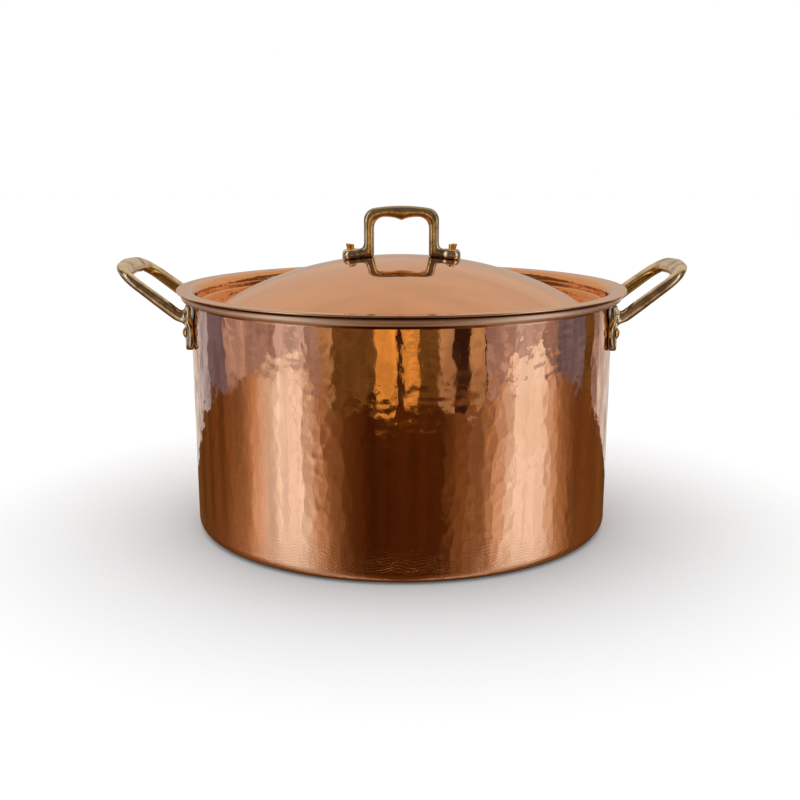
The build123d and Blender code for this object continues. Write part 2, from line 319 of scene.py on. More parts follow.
def lidSide(domeSpacing, spacing, bendSteps):
    gutter = lid["brimLevel"] - lid["inset"]
    radius = (lid["domeHalf"] ** 2 + lid["domeRise"] ** 2) / (2 * lid["domeRise"])
    centre = gutter + lid["domeRise"] - radius
    bendLevel = gutter + lid["domeBend"]
    bendReach = ((radius + lid["domeBend"]) ** 2 - (bendLevel - centre) ** 2) ** 0.5
    lean = atan2(bendReach, bendLevel - centre)
    angle = np.linspace(0, lean, ceil(radius * lean / domeSpacing) + 1)
    dome = np.stack([radius * np.sin(angle), centre + radius * np.cos(angle)], -1)
    domeWay = np.stack([np.cos(angle), -np.sin(angle)], -1)
    angle = np.linspace(lean, 0, bendSteps + 1)[1:]
    foot = np.stack(
        [bendReach - lid["domeBend"] * np.sin(angle), bendLevel - lid["domeBend"] * np.cos(angle)],
        -1,
    )
    footWay = np.stack([np.cos(angle), -np.sin(angle)], -1)
    run, runWay = bentPath(
        [
            (bendReach, gutter),
            (lid["wallRadius"], gutter),
            (lid["wallRadius"], lid["brimLevel"]),
            (lid["brimRadius"] - lid["edgeRound"], lid["brimLevel"]),
        ],
        [lid["gutterBend"], lid["brimBend"]],
        (spacing, spacing, spacing),
        bendSteps,
    )
    points = np.concatenate([dome, foot, run[1:]])
    return points, np.concatenate([domeWay, footWay, runWay[1:]])


def makeLid():
    half = lid["sheet"] / 2
    upper, upperWays = lidSide(*lid["upperRows"])
    under, underWays = lidSide(*lid["underRows"])
    below = under + rightOf(underWays) * half
    above = (upper - rightOf(upperWays) * half)[::-1]
    swing = np.linspace(-pi / 2, pi / 2, lid["edgeRows"])[1:-1]
    edge = upper[-1] + np.stack([np.cos(swing) * lid["edgeRound"], np.sin(swing) * half], -1)
    below[0, 0] = above[-1, 0] = 0
    grid = carriedRound(np.concatenate([below, edge, above]), lid["columns"])
    piece = newPiece("spunLid", "lid", "lid")
    fillMesh(piece.data, *revolvedParts(grid))
    print("lid:", len(piece.data.polygons), "faces")
    return piece


# Pegs of the lid handle: rivets whose ends were left proud and uneven by the hammer

peg = {
    "apart": 0.066,
    "domeRadius": 0.2544,     # outside of the dome
    "radius": 0.0025,
    "headRadius": 0.0046,     # under the lid
    "headFrom": -0.00292,     # heights are above the outside of the dome
    "headTo": -0.00132,
    "bodyTo": 0.0066,         # the plain shank ends here, inside the lug
    "top": 0.0099,
    "endRings": (0.93, 0.8, 0.55, 0.3, 0.0),  # across the end, as shares of its radius
    "spread": 0.10,           # how much wider the hammered end is, as a share
    "uneven": 0.035,
    "waves": ((2, 1.0), (3, 0.8), (5, 0.5)),  # round the end: how many, and how strong
    "tilts": (-0.24, 0.22),   # slope of each end's top
    "drop": 0.00008,          # where the waves lower the end
    "columns": 64,
    "shankRows": 12,
    "endRows": 14,
    "seed": 5,
}


def makePegs():
    # The profile is carried round the peg's axis. Above the shank its radius swells to the
    # top and waves round it, and its height leans across.
    draw = np.random.default_rng(peg["seed"])
    radius, head = peg["radius"], peg["headRadius"]
    bevel = (peg["headTo"] - peg["headFrom"]) / 2
    shank = np.linspace(peg["headTo"], peg["bodyTo"], peg["shankRows"])
    end = np.linspace(peg["bodyTo"], peg["top"], peg["endRows"])[1:-1]
    profile = np.concatenate([
        [(0, peg["headFrom"]), (head - bevel, peg["headFrom"])],
        [(head, peg["headFrom"] + bevel), (head, peg["headTo"])],
        np.stack([np.full(len(shank), radius), shank], -1),
        np.stack([np.full(len(end), radius), end], -1),
        [(radius * share, peg["top"]) for share in peg["endRings"]],
    ])
    middle = peg["domeRadius"]
    reach = peg["apart"] / 2
    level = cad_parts["lid"].bound_box[1][2] - middle
    lean = atan2(reach, (middle**2 - reach**2) ** 0.5)
    allVertices, allFaces = [], []
    for side, tilt in zip((-1, 1), peg["tilts"]):
        grid = carriedRound(profile, peg["columns"])
        turn = np.arange(peg["columns"]) * 2 * pi / peg["columns"]
        share = smoothStep(peg["bodyTo"], peg["top"], grid[..., 2])
        phases = draw.uniform(0, 2 * pi, len(peg["waves"]))
        wave = sum(
            strength * np.sin(times * turn + phase)
            for (times, strength), phase in zip(peg["waves"], phases)
        )
        swell = 1 + share * (peg["spread"] + peg["uneven"] * wave)
        grid[..., :2] *= swell[..., None]
        grid[..., 2] += share * (grid[..., 0] * tilt - peg["drop"] * (1 + wave))
        across, up = grid[..., 0].copy(), grid[..., 2] + middle
        grid[..., 0] = across * cos(lean) + up * sin(lean) * side
        grid[..., 2] = up * cos(lean) - across * sin(lean) * side + level
        vertices, faces = revolvedParts(grid)
        start = sum(len(v) for v in allVertices)
        allVertices.append(vertices)
        allFaces += [f + start for f in faces]
    piece = newPiece("lidPegs", "lid", "lid_handle_rivets")
    fillMesh(piece.data, np.concatenate(allVertices), allFaces)
    print("pegs:", len(piece.data.polygons), "faces")
    return piece


# Castings: each is its solid swollen and shrunk back, which fills its inner corners, with
# its outer edges melted a little, as sand casting and tumbling leave them

casting = {
    "voxel": 0.00042,
    "fillet": 0.0013,
    "smoothing": 0.5,
    "roughRounds": 6,         # of smoothing while it is swollen
    "shrunkRounds": 2,
    "rounds": 18,
    "normalRounds": 30,
    "weld": 0.00001,
}

# each handle's node, its body and the middle of its opening
handles = {
    "leftLoop": ("left_side_handle", "pot", (-0.163, 0, 0.163)),
    "rightLoop": ("right_side_handle", "pot", (0.163, 0, 0.163)),
    "lidGrip": ("lid_handle", "lid", (0, 0, 0.190)),
}

# the pads of the side handles' feet are rounded across, thickest in the middle
foot = {
    "azimuth": 16.6,          # degrees from the X axis
    "wall": 0.13986,
    "thickness": 0.0046,
    "roundness": 0.014,
    "from": 0.1375,           # the rounding fades out between these heights
    "to": 0.1415,
}


def addStep(piece, kind, **settings):
    step = piece.modifiers.new(kind.lower(), kind)
    for key, value in settings.items():
        setattr(step, key, value)


def bake(piece):
    shown = piece.evaluated_get(bpy.context.evaluated_depsgraph_get())
    finished = bpy.data.meshes.new_from_object(shown)
    piece.modifiers.clear()
    piece.data = finished


def roundFeet(mesh):
    # each pad's face is brought back to its thickness less the square of the distance
    # from its middle line over twice the roundness
    places = np.empty(len(mesh.vertices) * 3, dtype=np.float32)
    mesh.vertices.foreach_get("co", places)
    places = places.reshape(-1, 3)
    away = np.sign(places[:, :2])
    lean = radians(foot["azimuth"])
    outward = away * (cos(lean), sin(lean))
    across = away * (-sin(lean), cos(lean))
    out = (places[:, :2] * outward).sum(1) - foot["wall"]
    side = (places[:, :2] * across).sum(1)
    limit = foot["thickness"] - side**2 / (2 * foot["roundness"])
    share = 1 - smoothStep(foot["from"], foot["to"], places[:, 2])
    back = share * np.maximum(out - limit, 0)
    places[:, :2] -= outward * back[:, None]
    mesh.vertices.foreach_set("co", places.ravel())
    mesh.update()


def makeCasting(name, node, body, middle):
    piece = newPiece(name, body, node)
    piece.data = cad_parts[node].data.copy()
    remesh = {"mode": "VOXEL", "voxel_size": casting["voxel"]}
    strength = casting["smoothing"]
    soften = {"factor": strength, "iterations": casting["roughRounds"]}
    addStep(piece, "WELD", merge_threshold=casting["weld"])
    addStep(piece, "REMESH", **remesh)
    bake(piece)
    if body == "pot":
        roundFeet(piece.data)
    addStep(piece, "SMOOTH", **soften)
    addStep(piece, "DISPLACE", strength=casting["fillet"], mid_level=0.0)
    addStep(piece, "REMESH", **remesh)
    addStep(piece, "SMOOTH", **soften)
    addStep(piece, "DISPLACE", strength=-casting["fillet"], mid_level=0.0)
    addStep(piece, "SMOOTH", factor=strength, iterations=casting["shrunkRounds"])
    addStep(piece, "REMESH", **remesh)
    addStep(piece, "SMOOTH", factor=strength, iterations=casting["rounds"])
    bake(piece)
    finished = piece.data
    finished.name = name
    smooth = np.ones(len(finished.polygons), dtype=bool)
    finished.polygons.foreach_set("use_smooth", smooth)
    markInside(finished, evenNormals(finished, casting["normalRounds"]), middle)
    print(name + ":", len(finished.polygons), "faces")
    return piece


def evenNormals(mesh, rounds):
    # each vertex takes the mean normal of its neighbours, round after round, which
    # takes the last waviness out of the reflections
    count = len(mesh.vertices)
    normals = np.empty(count * 3, dtype=np.float32)
    mesh.vertex_normals.foreach_get("vector", normals)
    normals = normals.reshape(-1, 3).astype(float)
    ends = np.empty(len(mesh.edges) * 2, dtype=np.int32)
    mesh.edges.foreach_get("vertices", ends)
    one, other = ends[::2], ends[1::2]
    for _ in range(rounds):
        total = normals.copy()
        for axis in range(3):
            total[:, axis] += np.bincount(one, normals[other, axis], count)
            total[:, axis] += np.bincount(other, normals[one, axis], count)
        normals = total / np.linalg.norm(total, axis=1)[:, None]
    mesh.normals_split_custom_set_from_vertices(normals.tolist())
    return normals


def markInside(mesh, normals, middle):
    # 1 where the surface faces the middle of the handle's opening, where the brass gets a painted
    # reflection of the copper
    places = np.empty(len(mesh.vertices) * 3, dtype=np.float32)
    mesh.vertices.foreach_get("co", places)
    toward = np.array(middle) - places.reshape(-1, 3)
    toward /= np.linalg.norm(toward, axis=1)[:, None]
    markVertices(mesh, "inside", np.clip((normals * toward).sum(1), 0, 1))


# Materials

def addNode(tree, kind, inputs=None, **settings):
    node = tree.nodes.new(kind)
    for key, value in settings.items():
        setattr(node, key, value)
    for key, value in (inputs or {}).items():
        if isinstance(value, bpy.types.NodeSocket):
            tree.links.new(value, node.inputs[key])
        else:
            node.inputs[key].default_value = value
    return node


def placeOf(tree):
    return addNode(tree, "ShaderNodeTexCoord").outputs["Object"]


def partsOf(tree, vector):
    return addNode(tree, "ShaderNodeSeparateXYZ", {0: vector}).outputs


def vectorOf(tree, x, y=0.0):
    return addNode(tree, "ShaderNodeCombineXYZ", {"X": x, "Y": y}).outputs[0]


def attributeOf(tree, name):
    return addNode(tree, "ShaderNodeAttribute", attribute_name=name).outputs["Fac"]


def mathOf(tree, operation, *values):
    node = addNode(tree, "ShaderNodeMath", dict(enumerate(values)), operation=operation)
    return node.outputs[0]


def mixTones(tree, share, one, other):
    # a tone is a node's output or three numbers
    one, other = [(*tone, 1) if isinstance(tone, tuple) else tone for tone in (one, other)]
    inputs = {"Factor": share, 6: one, 7: other}
    return addNode(tree, "ShaderNodeMix", inputs, data_type="RGBA").outputs[2]


def mixValues(tree, share, one, other):
    inputs = {"Factor": share, 2: one, 3: other}
    return addNode(tree, "ShaderNodeMix", inputs, data_type="FLOAT").outputs[0]


def scaleTone(tree, tone, amount):
    inputs = {0: tone, "Scale": amount}
    return addNode(tree, "ShaderNodeVectorMath", inputs, operation="SCALE").outputs[0]


def rangeOf(tree, value, low, high, toLow=0.0, toHigh=1.0, kind="LINEAR"):
    inputs = {
        "Value": value, "From Min": low, "From Max": high, "To Min": toLow, "To Max": toHigh,
    }
    node = addNode(tree, "ShaderNodeMapRange", inputs, interpolation_type=kind)
    return node.outputs["Result"]


def easeOf(tree, value, low, high, toLow=0.0, toHigh=1.0):
    return rangeOf(tree, value, low, high, toLow, toHigh, "SMOOTHSTEP")


def stretched(tree, place, stretch):
    inputs = {"Vector": place, "Scale": stretch}
    return addNode(tree, "ShaderNodeMapping", inputs).outputs["Vector"]


def noiseAt(tree, place, scale, detail, stretch=None):
    if stretch:
        place = stretched(tree, place, stretch)
    inputs = {"Vector": place, "Scale": scale, "Detail": detail}
    return addNode(tree, "ShaderNodeTexNoise", inputs).outputs["Fac"]


def bumpOver(tree, height, strength, distance, under=None):
    inputs = {"Height": height, "Strength": strength, "Distance": distance}
    bump = addNode(tree, "ShaderNodeBump", inputs)
    if under:
        tree.links.new(under, bump.inputs["Normal"])
    return bump.outputs["Normal"]


def bumpLayers(tree, place, layers, masks, normal=None):
    # each layer is noise with a scale, detail and stretch of its own, then its strength,
    # which is a number or the name of a mask, and its depth in metres
    for scale, detail, stretch, strength, depth in layers:
        height = noiseAt(tree, place, scale, detail, stretch)
        normal = bumpOver(tree, height, masks.get(strength, strength), depth, normal)
    return normal


def newGroup(name, inputs, outputs):
    group = bpy.data.node_groups.new(name, "ShaderNodeTree")
    for socketName, kind, value in inputs:
        socket = group.interface.new_socket(socketName, in_out="INPUT", socket_type=kind)
        socket.default_value = value
    for socketName, kind in outputs:
        group.interface.new_socket(socketName, in_out="OUTPUT", socket_type=kind)
    given = group.nodes.new("NodeGroupInput").outputs
    result = group.nodes.new("NodeGroupOutput").inputs
    return group, given, result


tarnish = {
    "from": 0.42,             # a cloud shows where it is denser than this
    "to": 0.70,
    "detail": 5.0,
}


def tarnishGroup():
    # clouds of duller metal over the clean tone
    group, given, result = newGroup(
        "tarnish",
        [
            ("Clean", "NodeSocketColor", (1, 1, 1, 1)),
            ("Dull", "NodeSocketColor", (0.5, 0.5, 0.5, 1)),
            ("Scale", "NodeSocketFloat", 20.0),
            ("Amount", "NodeSocketFloat", 0.3),
        ],
        [("Color", "NodeSocketColor"), ("Mask", "NodeSocketFloat")],
    )
    cloud = noiseAt(group, placeOf(group), given["Scale"], tarnish["detail"])
    mask = rangeOf(group, cloud, tarnish["from"], tarnish["to"])
    share = mathOf(group, "MULTIPLY", mask, given["Amount"])
    tone = mixTones(group, share, given["Clean"], given["Dull"])
    group.links.new(tone, result["Color"])
    group.links.new(mask, result["Mask"])
    return group


def tarnished(tree, group, look):
    # the metal's tone, and a mask of the clouds
    inputs = {
        "Clean": (*look["clean"], 1),
        "Dull": (*look["dull"], 1),
        "Scale": look["cloudScale"],
        "Amount": look["cloudAmount"],
    }
    node = addNode(tree, "ShaderNodeGroup", inputs, node_tree=group)
    return node.outputs["Color"], node.outputs["Mask"]


creviceShade = {
    "reach": 0.004,           # how near another surface must be to darken the metal
    "dark": 0.10,             # share of the tone that the painted shade leaves in the deepest crevice
    "from": 0.25,             # open sky around a point where it starts to clear
    "to": 0.85,
}


def creviceShadeGroup():
    # painted shade: darker metal in crevices and gaps, where other surfaces are near
    group, given, result = newGroup(
        "creviceShade", [("Clean", "NodeSocketColor", (1, 1, 1, 1))], [("Color", "NodeSocketColor")]
    )
    near = addNode(group, "ShaderNodeAmbientOcclusion", {"Distance": creviceShade["reach"]})
    clear = easeOf(group, near.outputs["AO"], creviceShade["from"], creviceShade["to"], creviceShade["dark"], 1.0)
    group.links.new(mixTones(group, clear, (0, 0, 0), given["Clean"]), result["Color"])
    return group


def withCreviceShade(tree, group, tone):
    return addNode(tree, "ShaderNodeGroup", {"Clean": tone}, node_tree=group).outputs["Color"]


def newMetal(name):
    material = bpy.data.materials.new(name)
    material.use_nodes = True
    tree = material.node_tree
    tree.nodes.clear()
    shader = addNode(tree, "ShaderNodeBsdfPrincipled", {"Metallic": 1.0})
    output = addNode(tree, "ShaderNodeOutputMaterial", {"Surface": shader.outputs[0]})
    output.is_active_output = True
    return material, tree, shader


copperLook = {
    "clean": (0.93, 0.56, 0.40),
    "dull": (0.84, 0.44, 0.27),
    "cloudScale": 26.0,
    "cloudAmount": 0.35,
    "roughness": (0.035, 0.09),  # where it is clean and where it is dull
    "footRoughness": 0.16,
    "foot": (0.038, 0.004),   # heights where the unpolished grain starts and is full
    "insideRoughness": 0.42,  # satin, on all of the sheet's inner side: the rolled rim shows it
    "planishing": 0.00010,    # depth of a second, lighter pass of marks with sharp edges
    "planishingScale": 160.0, # marks per metre
    "planishingJitter": 0.8,
    "planishingStretch": (1, 1, 0.42),
    "planishingShare": (0.35, 1.25),  # of that depth, where the sheet was worked least and most
    "wornNoise": (22.0, 1.0), # patches where the short creases lie
    "worn": (0.40, 0.60, 0.12, 1.0),
    "layers": [
        (260.0, 2.0, (1, 1, 0.6), 1.0, 0.000016),        # fine unevenness all over
        (700.0, 2.0, (1, 1, 0.5), 1.0, 0.000012),        # the finest
        (190.0, 0.0, (0.6, 0.6, 1.3), "worn", 0.00005),  # short level creases
        (300.0, 2.0, (0.25, 0.25, 6), 0.6, 0.000003),    # long level lines
        (520.0, 3.0, (1.6, 1.6, 1), "foot", 0.00005),    # grain near the base
    ],
    "rings": 0.000016,        # depth of the rings near the base
    "ringSpacing": 0.0019,
    "ringNoise": (90.0, 2.0),
    "ringWander": 0.010,
    "rim": (0.1532, 0.1542),  # heights over which the metal turns to the rim's tone
    "rimTone": (1.0, 0.78, 0.66),
    "underRim": (0.1508, 0.1524, 0.1540, 0.1554),  # painted shade on the outer side, at these heights
    "underRimShare": 0.28,    # of the metal's tone that the painted shade leaves there
}


def copperTone(tree, tone, height, outer):
    # paler at the rim, with painted shade right under it
    look = copperLook
    tone = mixTones(tree, easeOf(tree, height, *look["rim"]), tone, look["rimTone"])
    start, full, fade, end = look["underRim"]
    rising, falling = easeOf(tree, height, start, full), easeOf(tree, height, end, fade)
    underRimShade = mathOf(tree, "MULTIPLY", mathOf(tree, "MULTIPLY", rising, falling), outer)
    return scaleTone(tree, tone, rangeOf(tree, underRimShade, 0.0, 1.0, 1.0, look["underRimShare"]))


def copperNormal(tree, place, height, foot):
    # the second pass of marks, then the layers, then faint rings near the base
    look = copperLook
    inputs = {
        "Vector": stretched(tree, place, look["planishingStretch"]),
        "Scale": look["planishingScale"],
        "Randomness": look["planishingJitter"],
    }
    away = addNode(tree, "ShaderNodeTexVoronoi", inputs).outputs["Distance"]
    share = rangeOf(tree, attributeOf(tree, "struck"), 0, 1, *look["planishingShare"])
    marks = mathOf(tree, "MULTIPLY", mathOf(tree, "MULTIPLY", away, away), share)
    normal = bumpOver(tree, marks, 1.0, look["planishing"])
    worn = easeOf(tree, noiseAt(tree, place, *look["wornNoise"]), *look["worn"])
    normal = bumpLayers(tree, place, look["layers"], {"worn": worn, "foot": foot}, normal)
    wander = noiseAt(tree, place, *look["ringNoise"])
    level = mathOf(tree, "MULTIPLY_ADD", wander, look["ringWander"], height)
    turn = mathOf(tree, "MULTIPLY", level, 2 * pi / look["ringSpacing"])
    return bumpOver(tree, mathOf(tree, "SINE", turn), foot, look["rings"], normal)


def hammeredCopper(group, creviceShading):
    look = copperLook
    material, tree, shader = newMetal("hammeredCopper")
    place = placeOf(tree)
    height = partsOf(tree, place)["Z"]
    outer = attributeOf(tree, "outer")
    foot = easeOf(tree, height, *look["foot"])
    tone, clouds = tarnished(tree, group, look)
    tone = copperTone(tree, tone, height, outer)
    # painted shade in crevices and gaps over the copper's tone
    tree.links.new(withCreviceShade(tree, creviceShading, tone), shader.inputs["Base Color"])
    rough = rangeOf(tree, clouds, 0, 1, *look["roughness"])
    rough = mixValues(tree, foot, rough, look["footRoughness"])
    rough = mixValues(tree, outer, look["insideRoughness"], rough)
    tree.links.new(rough, shader.inputs["Roughness"])
    tree.links.new(copperNormal(tree, place, height, foot), shader.inputs["Normal"])
    return material


lidLook = {
    "clean": (0.93, 0.56, 0.38),
    "dull": (0.88, 0.47, 0.29),
    "cloudScale": 9.0,
    "cloudAmount": 0.5,
    "roughness": (0.05, 0.12),
    "gutterFrom": (0.119, 0.123),  # the uneven gutter and its wall lie between these radii
    "wallTo": (0.1405, 0.1375),
    # painted reflection of the lid's own copper, orange, in the gutter and its wall
    "gutterReflectionTone": (0.95, 0.48, 0.21),
    "layers": [
        (70.0, 2.0, (1, 1, 0.6), "wall", 0.0009),   # unevenness of the gutter and its wall
        (26.0, 4.0, (0.6, 1.6, 1), 1.0, 0.0003),    # slow waves all over
    ],
    "ringNoise": (1600.0, 2.0),  # across the radius, from spinning
    "ringStrength": 0.4,
    "rings": 0.000006,
}


def spunCopper(group, creviceShading):
    look = lidLook
    material, tree, shader = newMetal("spunCopper")
    place = placeOf(tree)
    x, y = partsOf(tree, place)[:2]
    flat = {0: vectorOf(tree, x, y)}
    radius = addNode(tree, "ShaderNodeVectorMath", flat, operation="LENGTH").outputs["Value"]
    inward = easeOf(tree, radius, *look["gutterFrom"])
    wall = mathOf(tree, "MULTIPLY", inward, easeOf(tree, radius, *look["wallTo"]))
    tone, clouds = tarnished(tree, group, look)
    # painted reflection of the lid's own copper in the gutter
    tone = mixTones(tree, wall, tone, look["gutterReflectionTone"])
    # painted shade in crevices and gaps over the lid's tone
    tree.links.new(withCreviceShade(tree, creviceShading, tone), shader.inputs["Base Color"])
    rough = rangeOf(tree, clouds, 0, 1, *look["roughness"])
    tree.links.new(rough, shader.inputs["Roughness"])
    normal = bumpLayers(tree, place, look["layers"], {"wall": wall})
    rings = noiseAt(tree, vectorOf(tree, radius), *look["ringNoise"])
    normal = bumpOver(tree, rings, look["ringStrength"], look["rings"], normal)
    tree.links.new(normal, shader.inputs["Normal"])
    return material


brassLook = {
    "clean": (0.92, 0.81, 0.60),
    "dull": (0.15, 0.10, 0.04),
    "cloudScale": 105.0,
    "cloudAmount": 0.85,
    "inside": (0.66, 0.43, 0.11),  # painted reflection of the copper: more golden where it faces the handle's opening
    "copperReflectionFacing": (0.3, 0.8, 0.0, 0.9),
    "roughness": (0.08, 0.22),
    "top": (0.196, 0.204),    # the lid handle's top, from these heights, is duller, with painted shade
    "topFacing": (0.2, 0.75), # where it faces up
    # painted shade on the top where it faces up
    "topShadeTone": (0.52, 0.46, 0.31),
    "topRoughness": 0.34,
    "layers": [
        (120.0, 2.0, None, 0.6, 0.0007),    # slow unevenness of the cast skin
        (1100.0, 2.0, None, 0.5, 0.00010),  # pits
    ],
}


def castBrass(group):
    look = brassLook
    material, tree, shader = newMetal("castBrass")
    place = placeOf(tree)
    facing = addNode(tree, "ShaderNodeNewGeometry").outputs["Normal"]
    upward = easeOf(tree, partsOf(tree, facing)["Z"], *look["topFacing"])
    high = easeOf(tree, partsOf(tree, place)["Z"], *look["top"])
    top = mathOf(tree, "MULTIPLY", upward, high)
    inside = easeOf(tree, attributeOf(tree, "inside"), *look["copperReflectionFacing"])
    tone, clouds = tarnished(tree, group, look)
    # painted reflection of the copper on the faces toward the opening
    tone = mixTones(tree, inside, tone, look["inside"])
    # painted shade on the lid handle's top, which is also rougher
    tone = mixTones(tree, top, tone, look["topShadeTone"])
    tree.links.new(tone, shader.inputs["Base Color"])
    rough = rangeOf(tree, clouds, 0, 1, *look["roughness"])
    rough = mixValues(tree, top, rough, look["topRoughness"])
    tree.links.new(rough, shader.inputs["Roughness"])
    normal = bumpLayers(tree, place, look["layers"], {})
    tree.links.new(normal, shader.inputs["Normal"])
    return material


rivetLook = {
    "clean": (0.98, 0.60, 0.19),
    "dull": (0.78, 0.36, 0.10),
    "cloudScale": 220.0,
    "cloudAmount": 0.6,
    "roughness": 0.24,
    "layers": [(330.0, 2.0, None, 0.6, 0.0005)],
}


def rivetCopper(group):
    look = rivetLook
    material, tree, shader = newMetal("rivetCopper")
    tone = tarnished(tree, group, look)[0]
    tree.links.new(tone, shader.inputs["Base Color"])
    shader.inputs["Roughness"].default_value = look["roughness"]
    normal = bumpLayers(tree, placeOf(tree), look["layers"], {})
    tree.links.new(normal, shader.inputs["Normal"])
    return material


wireLook = {
    "clean": (0.60, 0.60, 0.62),
    "dull": (0.50, 0.50, 0.50),
    "noise": (300.0, 2.0),
    "roughness": 0.4,
}


def steelWire():
    look = wireLook
    material, tree, shader = newMetal("steelWire")
    cloud = noiseAt(tree, placeOf(tree), *look["noise"])
    tone = mixTones(tree, cloud, look["dull"], look["clean"])
    tree.links.new(tone, shader.inputs["Base Color"])
    shader.inputs["Roughness"].default_value = look["roughness"]
    return material


def paint(thing, material):
    thing.data.materials.clear()
    thing.data.materials.append(material)


# Studio: pale floor and backdrop, and in front a brown table with a dim room behind it,
# which only reflections see. Angles are degrees: azimuth from the front, positive to the
# right, and rise above the level.

studio = {
    "floorTone": 1.0,
    "floorHalf": 6.0,
    "floorLift": 0.12,        # how much of the floor's white the camera sees unshaded
    "contactShadow": (0.425, 0.45, 0.462),  # painted shadow: the floor's tone right against the pot
    "contactReach": 0.2,
    "level": 1.0,             # the white that lights everything and that the camera sees
    "tableEdge": -13.1,       # rise of the table's far edge, seen from the wall
    "glowRise": 2.5,          # how much higher it lies under the windows
    "sides": (60.0, 100.0),   # azimuths over which it climbs at the sides
    "sideRise": 1.3,
    "backs": (112.0, 170.0),  # and over which it drops at the back
    "backDrop": 3.6,
    "edgeBlur": 0.1,
    "taper": 0.028,           # how fast the windows' glow narrows away from the pot, per degree
    "taperMiddle": -17.0,     # rise where it is as wide as the windows say
    "taperEnd": -22.0,        # it widens no further below this
    "middle": (14.0, 40.0),   # azimuths over which the shade in the middle ends
    "underPot": 0.74,         # how much darker the table gets close to the pot
    "underPotFrom": (-28.0, -18.5),
    "close": (-26.0, -48.0),  # the table's near part sets in between these
    "closeShare": 0.55,
    "closeShade": -0.35,      # how much less of it shows in the middle
    "paneTop": (35.0, 60.0),  # the windows end between these
    "roomTop": (-3.0, 3.0),   # and the room here
    "back": (118.0, 134.0),   # the room's pale back starts between these azimuths
    "backRise": (-6.0, 2.0),
    "backLean": 0.6,          # how much sooner it starts higher up, per degree
}

tableTones = {
    "shade": (0.058, 0.017, 0.003),
    "brown": (0.145, 0.060, 0.015),
    "amber": (0.40, 0.23, 0.11),
    "cream": (0.72, 0.55, 0.40),
    "glow": (0.93, 0.91, 0.82),
    "close": (0.24, 0.11, 0.035),
}

# how much of the windows' glow gives each of the table's tones
glowSteps = [(0.0, "brown"), (0.32, "amber"), (0.6, "cream"), (0.85, "glow")]

# the windows' glow on the table: middle, spread to the left and to the right
windows = {
    "left": (-60.0, 27.0, 17.0),
    "right": (73.0, 23.0, 20.0),
}

windowTones = {
    "wall": (0.12, 0.08, 0.055),
    "pane": (1.2, 1.15, 1.05),
}

roomTones = {
    "pale": (0.62, 0.60, 0.56),
    "cool": (0.43, 0.46, 0.52),
    "slate": (0.17, 0.145, 0.18),
    "dusk": (0.46, 0.35, 0.30),
    "rose": (0.34, 0.25, 0.22),
    "haze": (0.55, 0.48, 0.46),
    "tan": (0.42, 0.27, 0.13),
    "amber": (0.72, 0.38, 0.08),
    "olive": (0.14, 0.075, 0.02),
    "black": (0.035, 0.015, 0.008),
}

# the azimuth where each upright strip of the room starts
roomStrips = [
    (-180, "pale"), (-143, "cool"), (-127, "slate"), (-108, "dusk"), (-90, "rose"), (-70, "haze"),
    (-52, "rose"), (-43, "tan"), (-36, "olive"), (-13, "amber"), (-1.5, "black"), (0.5, "amber"),
    (9.5, "olive"), (19, "tan"), (27, "black"), (36, "tan"), (44, "black"), (46, "rose"),
    (54, "dusk"), (62, "haze"), (80, "rose"), (89, "slate"), (113, "olive"), (124, "rose"),
    (131, "pale"),
]

backTones = [  # by height, from straight down to straight up
    (0.0, (0.16, 0.10, 0.06)), (0.42, (0.30, 0.22, 0.16)), (0.46, (0.57, 0.52, 0.48)),
    (0.52, (0.51, 0.43, 0.36)), (0.59, (0.62, 0.50, 0.39)), (0.72, (0.63, 0.50, 0.38)),
    (0.88, (0.58, 0.43, 0.28)),
]

# unevenness of the tones: shares of azimuth and rise, noise scale and detail, the part of
# the noise that counts, and how much lighter or darker it makes the tone
mottles = {
    "streaks": (1.0, 0.15, 0.11, 4.0, (0.3, 0.7), 0.30),
    "fineStreaks": (1.0, 0.15, 0.5, 2.0, (0.3, 0.7), 0.16),
    "clutter": (1.0, 4.0, 0.16, 3.0, (0.35, 0.65), 0.30),
    "drift": (0.35, 1.0, 0.12, 3.0, (0.3, 0.7), 0.07),
}


def toneRamp(tree, factor, stops, interpolation):
    ramp = addNode(tree, "ShaderNodeValToRGB", {"Fac": factor})
    ramp.color_ramp.interpolation = interpolation
    while len(ramp.color_ramp.elements) < len(stops):
        ramp.color_ramp.elements.new(1.0)
    for element, (place, tone) in zip(ramp.color_ramp.elements, stops):
        element.position = place
    for element, (place, tone) in zip(ramp.color_ramp.elements, stops):
        element.color = (*tone, 1)
    return ramp.outputs["Color"]


def mottled(tree, tone, azimuth, rise, kind):
    across, up, scale, detail, counts, amount = mottles[kind]
    across = mathOf(tree, "MULTIPLY", azimuth, across)
    way = vectorOf(tree, across, mathOf(tree, "MULTIPLY", rise, up))
    cloud = noiseAt(tree, way, scale, detail)
    return scaleTone(tree, tone, rangeOf(tree, cloud, *counts, 1 - amount, 1 + amount))


def windowGlow(tree, azimuth, rise):
    # each window's glow falls off on both sides of its middle as a bell curve
    math = partial(mathOf, tree)
    lowest = math("MAXIMUM", rise, studio["taperEnd"])
    atLevel = 1 - studio["taperMiddle"] * studio["taper"]
    taper = math("MULTIPLY_ADD", lowest, studio["taper"], atLevel)
    glows = []
    for middle, spreadLeft, spreadRight in windows.values():
        away = math("MULTIPLY", math("SUBTRACT", azimuth, middle), taper)
        left = math("DIVIDE", math("MINIMUM", away, 0.0), spreadLeft)
        right = math("DIVIDE", math("MAXIMUM", away, 0.0), spreadRight)
        square = math("ADD", math("MULTIPLY", left, left), math("MULTIPLY", right, right))
        glows.append(math("EXPONENT", math("MULTIPLY", square, -1.0)))
    return math("MINIMUM", math("ADD", *glows), 1.0)


